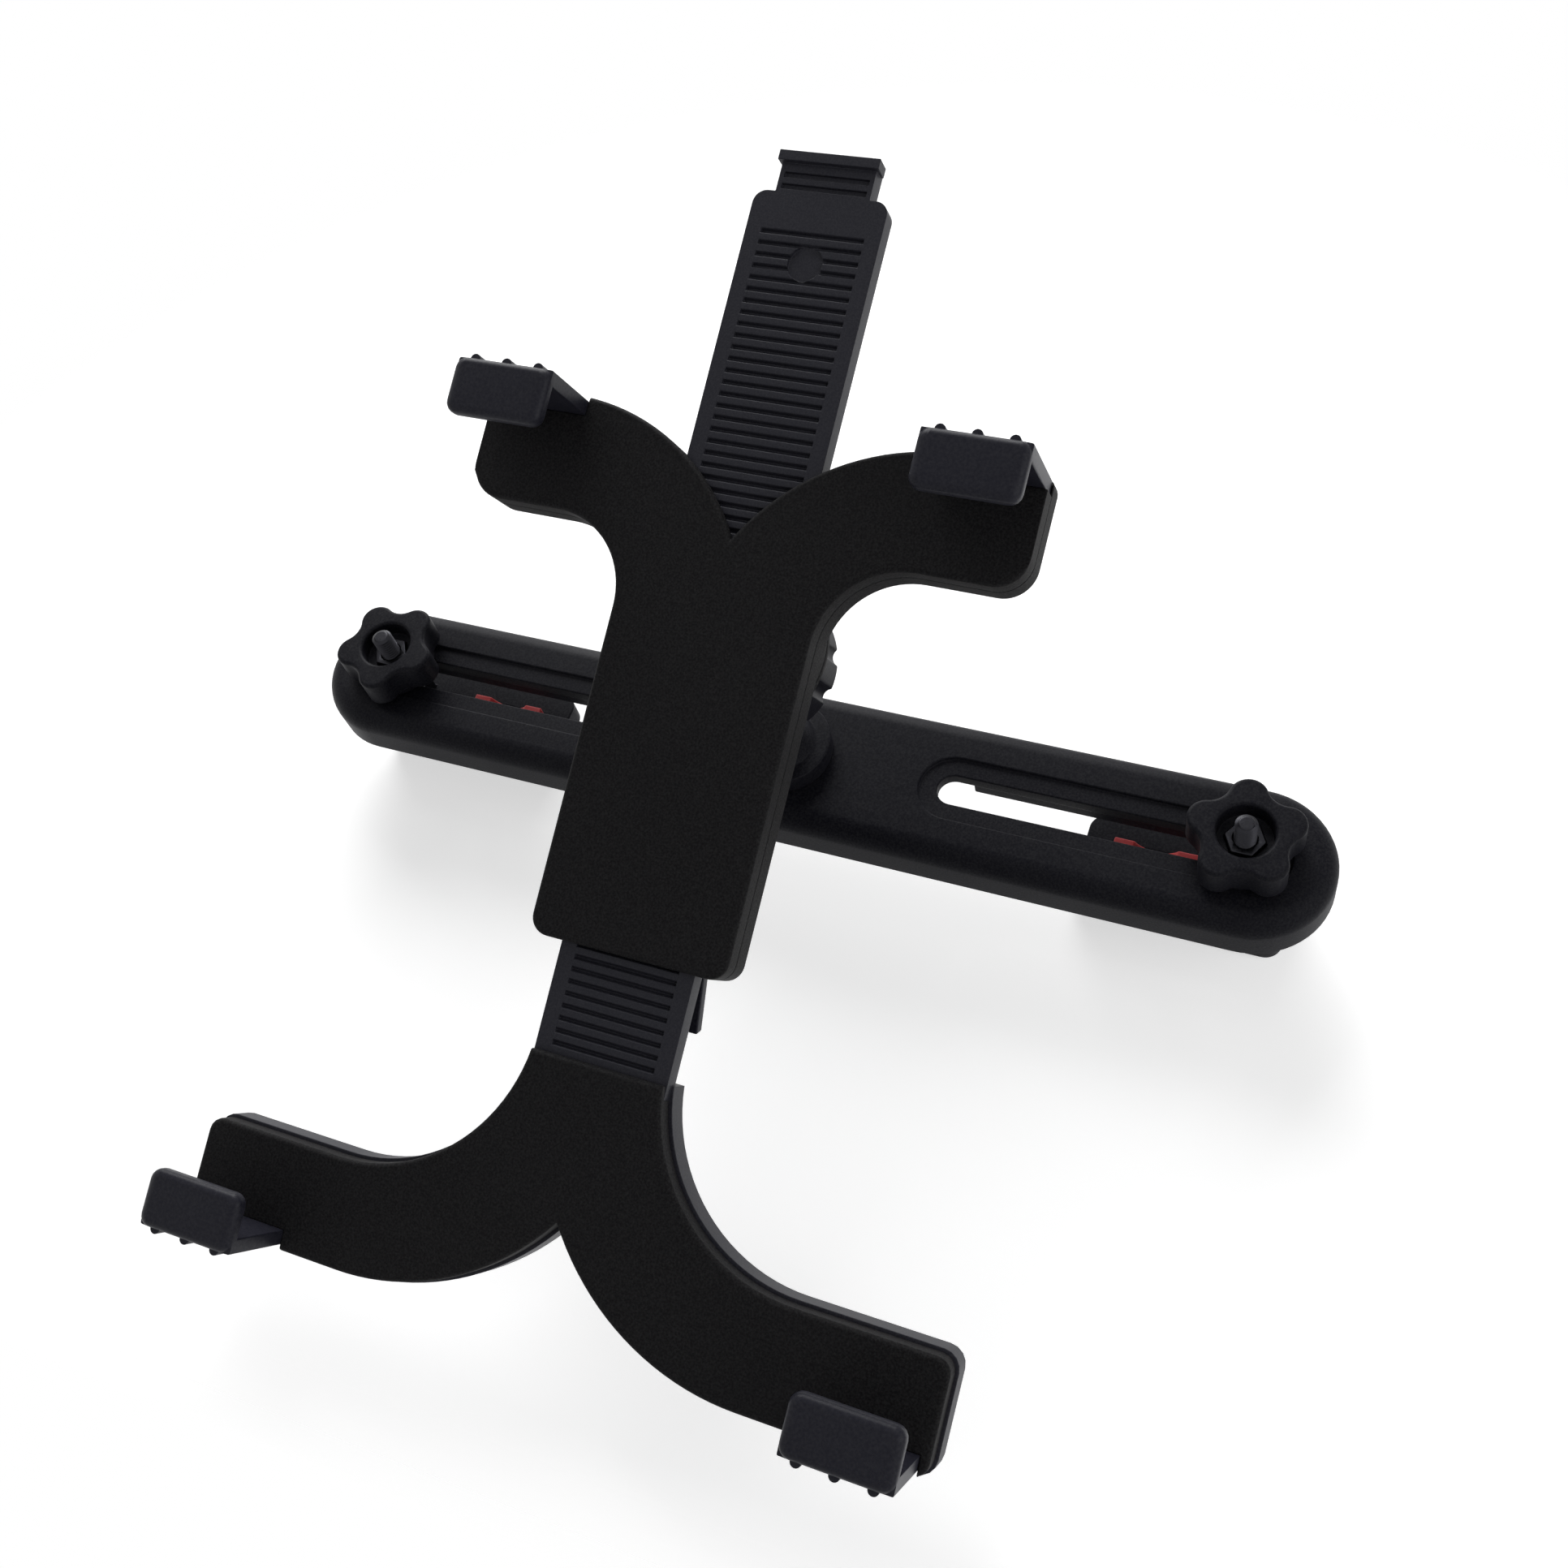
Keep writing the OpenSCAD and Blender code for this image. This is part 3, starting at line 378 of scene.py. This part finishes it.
def corner_after(loop, width, chosen):
    """Where a face's corner comes to lie once the chosen edges are rounded by width"""
    before = loop.link_loop_prev
    here = loop.vert.co
    first = loop.face.normal.cross((here - before.vert.co).normalized())
    second = loop.face.normal.cross((loop.link_loop_next.vert.co - here).normalized())
    a = width if before.edge in chosen else 0.0
    b = width if loop.edge in chosen else 0.0
    share = first.dot(second)
    rest = 1 - share * share
    if rest < 0.001:
        return here + first * max(a, b)
    return here + first * ((a - b * share) / rest) + second * ((b - a * share) / rest)


def with_room(mesh, chosen, width):
    """The chosen edges without those whose rounding would turn a short neighbour over"""
    chosen, tight = set(chosen), True
    while tight:
        tight = set()
        for face in mesh.faces:
            loops = list(face.loops)
            if not any(loop.edge in chosen for loop in loops):
                continue
            places = [corner_after(loop, width, chosen) for loop in loops]
            for i, loop in enumerate(loops):
                j = (i + 1) % len(loops)
                along = loops[j].vert.co - loop.vert.co
                if along.dot(places[j] - places[i]) < LEAST_LEFT * along.length_squared:
                    tight |= {loop.edge, loop.link_loop_prev.edge, loop.link_loop_next.edge} & chosen
        chosen -= tight
    return chosen


def soften(obj, width, rows):
    """Rounds the sharp edges of obj, with less width where there is little room"""
    for share, least in ((1.0, SHARP), (0.5, BLUNT), (0.25, BLUNT)):
        activate(obj)
        bpy.ops.object.mode_set(mode="EDIT")
        bpy.ops.mesh.select_mode(type="EDGE")
        bpy.ops.mesh.select_all(action="DESELECT")
        mesh = bmesh.from_edit_mesh(obj.data)
        mesh.normal_update()
        sharp = [edge for edge in mesh.edges
                 if len(edge.link_faces) == 2 and edge.calc_face_angle() > radians(least)]
        chosen = with_room(mesh, sharp, width * share)
        for edge in chosen:
            edge.select_set(True)
        bmesh.update_edit_mesh(obj.data)
        if chosen:
            bpy.ops.mesh.bevel(offset=width * share, segments=rows, affect="EDGES", clamp_overlap=False)
        bpy.ops.object.mode_set(mode="OBJECT")


def flatten_fin(obj):
    """Lowers the thin fin beside each hook pocket of the front cover to the pocket's floor"""
    up = Vector((1, 0, 0)).cross(BACKWARD)
    activate(obj)
    bpy.ops.object.mode_set(mode="EDIT")
    bpy.ops.mesh.select_mode(type="VERT")
    mesh = bmesh.from_edit_mesh(obj.data)
    for vert in mesh.verts:
        if abs(vert.co.x) > FIN_ACROSS and vert.co.dot(up) > FIN_LEVEL:
            vert.co -= up * (vert.co.dot(up) - FIN_LEVEL)
    bmesh.update_edit_mesh(obj.data)
    bpy.ops.mesh.select_all(action="SELECT")
    bpy.ops.mesh.remove_doubles(threshold=SAME)
    bpy.ops.mesh.dissolve_degenerate(threshold=SAME / 2)
    bpy.ops.mesh.dissolve_limited(angle_limit=FLAT)
    bpy.ops.object.mode_set(mode="OBJECT")


def dressed(node, width, rows=2, rim=None, recess=None, careful=False):
    """
    Puts a copy of a CAD node in its place, with its edges rounded as a mould leaves them

    rim is the direction and radius of a face's wider rounding, recess the way that screw heads face,
    and careful rounds each edge only as far as its neighbours leave room.
    """
    copy = merged_copy(node)
    if node == "front_cover":
        flatten_fin(copy)
    if rim is not None:
        direction, radius = rim
        round_rim(copy, direction, radius * BENCH)
    if careful:
        soften(copy, width * BENCH, rows)
    else:
        add_modifier(copy, "TRIANGULATE", min_vertices=5)
        add_modifier(copy, "BEVEL", width=width * BENCH, segments=rows, limit_method="ANGLE",
                     angle_limit=radians(SHARP), use_clamp_overlap=False, harden_normals=False)
    if recess is not None:
        recessed(copy, recess)
    settle(copy, node)


def join_all(objects):
    """Joins objects into the first of them"""
    activate(objects[0])
    for obj in objects:
        obj.select_set(True)
    bpy.ops.object.join()
    return bpy.context.view_layer.objects.active


def neck_down(obj, direction, level, axis_point, share):
    """Narrows the end of a rod beyond level, about its own axis"""
    activate(obj)
    bpy.ops.object.mode_set(mode="EDIT")
    for step in (0.0, NECK):
        bpy.ops.mesh.select_all(action="SELECT")
        bpy.ops.mesh.bisect(plane_co=direction * (level - step), plane_no=direction)
    bpy.ops.mesh.select_all(action="DESELECT")
    bpy.ops.mesh.select_mode(type="VERT")
    mesh = bmesh.from_edit_mesh(obj.data)
    for vert in mesh.verts:
        vert.select_set(vert.co.dot(direction) < level - NECK * 0.8)
    bmesh.update_edit_mesh(obj.data)
    flat = [1.0 if abs(direction[i]) > 0.9 else share for i in range(3)]
    bpy.context.scene.tool_settings.transform_pivot_point = "CURSOR"
    bpy.ops.transform.resize(value=flat, center_override=axis_point)
    bpy.ops.object.mode_set(mode="OBJECT")


def thread(radius, depth, pitch, tip, length, across):
    """A rolled screw thread as one closed ridge round an axis along Y, from tip backwards"""
    bpy.ops.object.select_all(action="DESELECT")
    bpy.ops.mesh.primitive_circle_add(vertices=3, radius=depth, location=(radius - depth, 0, 0),
                                      rotation=(pi / 2, pi / 2, 0))
    ridge = bpy.context.active_object
    bpy.ops.object.transform_apply(location=True, rotation=True, scale=True)
    add_modifier(ridge, "SCREW", axis="Z", angle=2 * pi, screw_offset=pitch, iterations=int(length / pitch),
                 steps=THREAD_STEPS, render_steps=THREAD_STEPS, use_smooth_shade=False)
    activate(ridge)
    bpy.ops.object.mode_set(mode="EDIT")
    bpy.ops.mesh.select_all(action="SELECT")
    bpy.ops.mesh.remove_doubles(threshold=SAME)
    bpy.ops.mesh.fill_holes(sides=3)
    bpy.ops.mesh.normals_make_consistent(inside=False)
    bpy.ops.object.mode_set(mode="OBJECT")
    ridge.rotation_euler = (-pi / 2, 0, 0)
    ridge.location = (across, tip, 0)
    bpy.ops.object.transform_apply(location=True, rotation=True, scale=True)
    return ridge


def screw_heads(obj, direction):
    """The middle of each loose screw's head, at its far end along direction"""
    mesh = bmesh.new()
    mesh.from_mesh(obj.data)
    heads, seen = [], set()
    for first in mesh.verts:
        if first in seen:
            continue
        island, front = [], [first]
        seen.add(first)
        while front:
            vert = front.pop()
            island.append(vert.co.copy())
            for edge in vert.link_edges:
                other = edge.other_vert(vert)
                if other not in seen:
                    seen.add(other)
                    front.append(other)
        top = max(co.dot(direction) for co in island)
        rim = [co for co in island if co.dot(direction) > top - NEAR]
        heads.append(sum(rim, Vector()) / len(rim))
    mesh.free()
    return heads


def recessed(obj, direction):
    """Cuts a cross recess into every screw head of obj that faces along direction"""
    heads = screw_heads(obj, direction)
    turn = direction.to_track_quat("Z", "Y").to_matrix().to_4x4()
    for quarter in (0, 1):
        blades = []
        for head in heads:
            bpy.ops.object.select_all(action="DESELECT")
            bpy.ops.mesh.primitive_cube_add(size=1)
            blade = bpy.context.active_object
            arms = (RECESS_SPAN, RECESS_WIDTH) if quarter else (RECESS_WIDTH, RECESS_SPAN)
            blade.scale = (*arms, 2 * RECESS_DEPTH)
            bpy.ops.object.transform_apply(location=True, rotation=True, scale=True)
            bpy.ops.object.mode_set(mode="EDIT")
            bpy.ops.mesh.select_mode(type="VERT")
            bpy.ops.mesh.select_all(action="DESELECT")
            mesh = bmesh.from_edit_mesh(blade.data)
            for vert in mesh.verts:
                vert.select_set(vert.co.z < 0)
            bmesh.update_edit_mesh(blade.data)
            bpy.ops.transform.resize(value=(RECESS_TAPER, RECESS_TAPER, 1.0))
            bpy.ops.object.mode_set(mode="OBJECT")
            blade.matrix_world = Matrix.Translation(head) @ turn
            bpy.ops.object.transform_apply(location=True, rotation=True, scale=True)
            blades.append(blade)
        cutter = join_all(blades)
        add_modifier(obj, "BOOLEAN", object=cutter, operation="DIFFERENCE", solver="EXACT")
        bpy.data.objects.remove(cutter)


class MOUNT_OT_crossbar(bpy.types.Operator):
    """Crossbar with its slots, lands and hollow ribbed back"""

    bl_idname = "mount.crossbar"
    bl_label = "Crossbar"

    def execute(self, context):
        dressed("crossbar", context.scene.mount_finish.edge)
        return {"FINISHED"}


class MOUNT_OT_ball_joint(bpy.types.Operator):
    """Ball post, friction cup, socket, locking ring and retainer"""

    bl_idname = "mount.ball_joint"
    bl_label = "Ball joint"

    def execute(self, context):
        edge = context.scene.mount_finish.edge
        dressed("socket_housing", edge * 1.4)
        for node in ("ball_post", "lock_ring", "retainer_ring"):
            dressed(node, edge * 1.4, careful=True)
        dressed("friction_cup", edge * 0.6, careful=True)
        return {"FINISHED"}


class MOUNT_OT_holder(bpy.types.Operator):
    """Front and rear covers of the tablet holder"""

    bl_idname = "mount.holder"
    bl_label = "Holder covers"

    def execute(self, context):
        look = context.scene.mount_finish
        dressed("front_cover", look.edge * 0.6, rim=(BACKWARD, look.rim))
        dressed("rear_cover", look.edge * 0.6)
        return {"FINISHED"}


class MOUNT_OT_hooks(bpy.types.Operator):
    """The four hooks with ribbed shelves and rounded lips"""

    bl_idname = "mount.hooks"
    bl_label = "Hooks"

    def execute(self, context):
        for node in HOOKS:
            dressed(node, context.scene.mount_finish.edge, careful=True)
        return {"FINISHED"}


class MOUNT_OT_strap(bpy.types.Operator):
    """Toothed strap with the base moulding, and the base's front panel"""

    bl_idname = "mount.strap"
    bl_label = "Strap and base"

    def execute(self, context):
        look = context.scene.mount_finish
        dressed("strap_base", look.edge * 0.5)
        dressed("base_panel", look.edge * 0.6, rim=(BACKWARD, look.rim))
        return {"FINISHED"}


class MOUNT_OT_lever(bpy.types.Operator):
    """Release lever with its pin and spring"""

    bl_idname = "mount.lever"
    bl_label = "Release lever"

    def execute(self, context):
        edge = context.scene.mount_finish.edge
        dressed("release_lever", edge)
        dressed("lever_pin", edge * 0.6)
        dressed("lever_spring", 0.02 * MM, rows=1)
        return {"FINISHED"}


class MOUNT_OT_clamps(bpy.types.Operator):
    """Jaws, pads, bolts, washers, knobs and nuts of both clamps"""

    bl_idname = "mount.clamps"
    bl_label = "Post clamps"
    threaded = 11  # length of the thread, in millimetres as the two sizes below
    radius = 2.5
    depth = 0.45

    def execute(self, context):
        look = context.scene.mount_finish
        for side in ("left_", "right_"):
            dressed(side + "jaw", look.edge * 1.2, careful=True)
            dressed(side + "pad", look.edge)
            self.bolt(side + "bolt", look)
            dressed(side + "washer", look.edge * 0.5)
            dressed(side + "knob", look.edge * 0.8, rim=(TOWARDS_SEAT, look.edge * 2.6))
            dressed(side + "nut", look.edge * 0.9)
        return {"FINISHED"}

    def bolt(self, node, look):
        """Carriage bolt with a rolled thread on the end that carries the knob"""
        low, high = (Vector(corner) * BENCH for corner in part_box(node))
        across = (low.x + high.x) / 2
        copy = merged_copy(node)
        neck_down(copy, TOWARDS_SEAT, low.y + self.threaded, (across, 0, 0), 1 - self.depth / self.radius)
        add_modifier(copy, "BEVEL", width=look.edge * BENCH * 0.5, segments=2, limit_method="ANGLE",
                     angle_limit=radians(SHARP))
        ridge = thread(self.radius, self.depth, look.pitch * BENCH, low.y + THREAD_START, self.threaded,
                       across)
        settle(join_all([copy, ridge]), node)


class MOUNT_OT_screws(bpy.types.Operator):
    """Small self-tapping screws of the covers, base, post and retainer"""

    bl_idname = "mount.screws"
    bl_label = "Screws"

    def execute(self, context):
        edge = context.scene.mount_finish.edge
        for node, facing in (("cover_screws", BACKWARD), ("panel_screws", BACKWARD),
                             ("post_screws", TOWARDS_SEAT), ("retainer_screws", BACKWARD)):
            dressed(node, edge * 0.6, recess=facing)
        return {"FINISHED"}


def greater(tree, one, other):
    """The greater of two values"""
    return add_node(tree, "ShaderNodeMath", links={0: one, 1: other}, operation="MAXIMUM").outputs[0]


def looked_at(tree):
    """1 for rays from the camera, off a gloss or through a clear piece, and 0 for those that only light"""
    path = add_node(tree, "ShaderNodeLightPath").outputs
    seen = greater(tree, path["Is Camera Ray"], path["Is Glossy Ray"])
    return greater(tree, seen, path["Is Transmission Ray"])


class MOUNT_OT_studio(bpy.types.Operator):
    """Pale table, soft lamps and the camera at the photograph's angle"""

    bl_idname = "mount.studio"
    bl_label = "Studio"

    def execute(self, context):
        stage = context.scene.mount_stage
        self.camera(context, stage)
        self.table()
        self.lamps(context, stage)
        context.scene.view_settings.view_transform = "Standard"
        return {"FINISHED"}

    def camera(self, context, stage):
        """Camera where the photograph was taken from"""
        bpy.ops.object.camera_add(location=CAMERA_PLACE)
        camera = context.active_object
        camera.name = "photo_camera"
        turn = Matrix((CAMERA_ACROSS, CAMERA_UP, CAMERA_ACROSS.cross(CAMERA_UP))).transposed().to_4x4()
        camera.matrix_world = Matrix.Translation(camera.location) @ turn
        camera.data.lens = stage.lens
        camera.data.sensor_width = SENSOR_MM
        camera.data.clip_start = 0.01
        camera.data.dof.use_dof = False
        context.scene.camera = camera

    def table(self):
        """The sheet that the mount lies on: white, with soft shadows, seen only from its front, no shade"""
        bpy.ops.mesh.primitive_plane_add(size=4.0, location=SHEET_PLACE)
        table = bpy.context.active_object
        table.name = "table"
        table.rotation_euler = SHEET_FACING.to_track_quat("Z", "Y").to_euler()
        material = bpy.data.materials.new("White paper sheet")
        material.use_nodes = True
        tree = material.node_tree
        tree.nodes.clear()
        eye = looked_at(tree)
        paper = add_node(tree, "ShaderNodeBsdfDiffuse", {"Color": linear("#f2f2f2")})
        strength = add_node(tree, "ShaderNodeMath", {1: SHEET_GLOW}, {0: eye}, operation="MULTIPLY")
        glow = add_node(tree, "ShaderNodeEmission", {"Color": (1, 1, 1, 1)},
                        {"Strength": strength.outputs[0]})
        lit = add_node(tree, "ShaderNodeAddShader", links={0: paper.outputs[0], 1: glow.outputs[0]})
        clear = add_node(tree, "ShaderNodeBsdfTransparent")
        point = add_node(tree, "ShaderNodeNewGeometry").outputs
        reach = add_node(tree, "ShaderNodeVectorMath", links={0: point["Position"]}, operation="LENGTH")
        height = add_node(tree, "ShaderNodeSeparateXYZ", links={0: point["Position"]})
        outwards = ranged(tree, reach.outputs["Value"], *SHEET_ENDS_AT)
        downwards = ranged(tree, height.outputs["Z"], *SHEET_ENDS_BELOW)
        faded = greater(tree, outwards, downwards)
        unseen = add_node(tree, "ShaderNodeMath", links={0: faded, 1: eye}, operation="MULTIPLY")
        shaded = add_node(tree, "ShaderNodeLightPath").outputs["Is Shadow Ray"]
        hidden = greater(tree, greater(tree, point["Backfacing"], unseen.outputs[0]), shaded)
        whole = add_node(tree, "ShaderNodeMixShader",
                         links={0: hidden, 1: lit.outputs[0], 2: clear.outputs[0]})
        add_node(tree, "ShaderNodeOutputMaterial", links={"Surface": whole.outputs[0]})
        table.data.materials.append(material)

    def lamps(self, context, stage):
        """A wide softbox overhead, a fill from the right, a fill from behind, and a pale world"""
        for name, place, size, power in (
                ("softbox", (-0.45, -0.55, 1.0), 0.9, stage.key),
                ("fill", (0.95, -0.6, -0.2), 0.8, stage.fill),
                ("rear_fill", (0.2, 1.1, 0.3), 1.0, stage.rear)):
            bpy.ops.object.light_add(type="AREA", location=place)
            lamp = context.active_object
            lamp.name = name
            lamp.data.size = size
            lamp.data.energy = power
            lamp.rotation_euler = (-Vector(place)).to_track_quat("-Z", "Y").to_euler()
        world = bpy.data.worlds.new("Studio air")
        context.scene.world = world
        world.use_nodes = True
        tree = world.node_tree
        tree.nodes.clear()
        strength = ranged(tree, looked_at(tree), 0.0, 1.0, AIR_ON_THE_MOUNT, 1.0)
        air = add_node(tree, "ShaderNodeBackground", {"Color": (1, 1, 1, 1)}, {"Strength": strength})
        add_node(tree, "ShaderNodeOutputWorld", links={"Surface": air.outputs["Background"]})


class MOUNT_PT_panel(bpy.types.Panel):
    """Lists the mount's pieces and settings"""

    bl_idname = "MOUNT_PT_panel"
    bl_label = "Headrest Tablet Mount"
    bl_space_type = "VIEW_3D"
    bl_region_type = "UI"
    bl_category = "Mount"

    def draw(self, context):
        for group in (context.scene.mount_finish, context.scene.mount_stage):
            for name in group.__annotations__:
                self.layout.prop(group, name)
        for step in STEPS:
            self.layout.operator(step.bl_idname)


STEPS = (MOUNT_OT_crossbar, MOUNT_OT_ball_joint, MOUNT_OT_holder, MOUNT_OT_hooks, MOUNT_OT_strap,
         MOUNT_OT_lever, MOUNT_OT_clamps, MOUNT_OT_screws, MOUNT_OT_studio)
CLASSES = (MountFinish, MountStage) + STEPS + (MOUNT_PT_panel,)


def register():
    for cls in CLASSES:
        bpy.utils.register_class(cls)
    bpy.types.Scene.mount_finish = bpy.props.PointerProperty(type=MountFinish)
    bpy.types.Scene.mount_stage = bpy.props.PointerProperty(type=MountStage)


def unregister():
    del bpy.types.Scene.mount_stage
    del bpy.types.Scene.mount_finish
    for cls in reversed(CLASSES):
        bpy.utils.unregister_class(cls)


def main():
    """Dresses the mount and sets up its studio"""
    register()
    bpy.ops.mount.crossbar()
    bpy.ops.mount.ball_joint()
    bpy.ops.mount.holder()
    bpy.ops.mount.hooks()
    bpy.ops.mount.strap()
    bpy.ops.mount.lever()
    bpy.ops.mount.clamps()
    bpy.ops.mount.screws()
    bpy.ops.mount.studio()


if __name__ == "__main__":
    main()
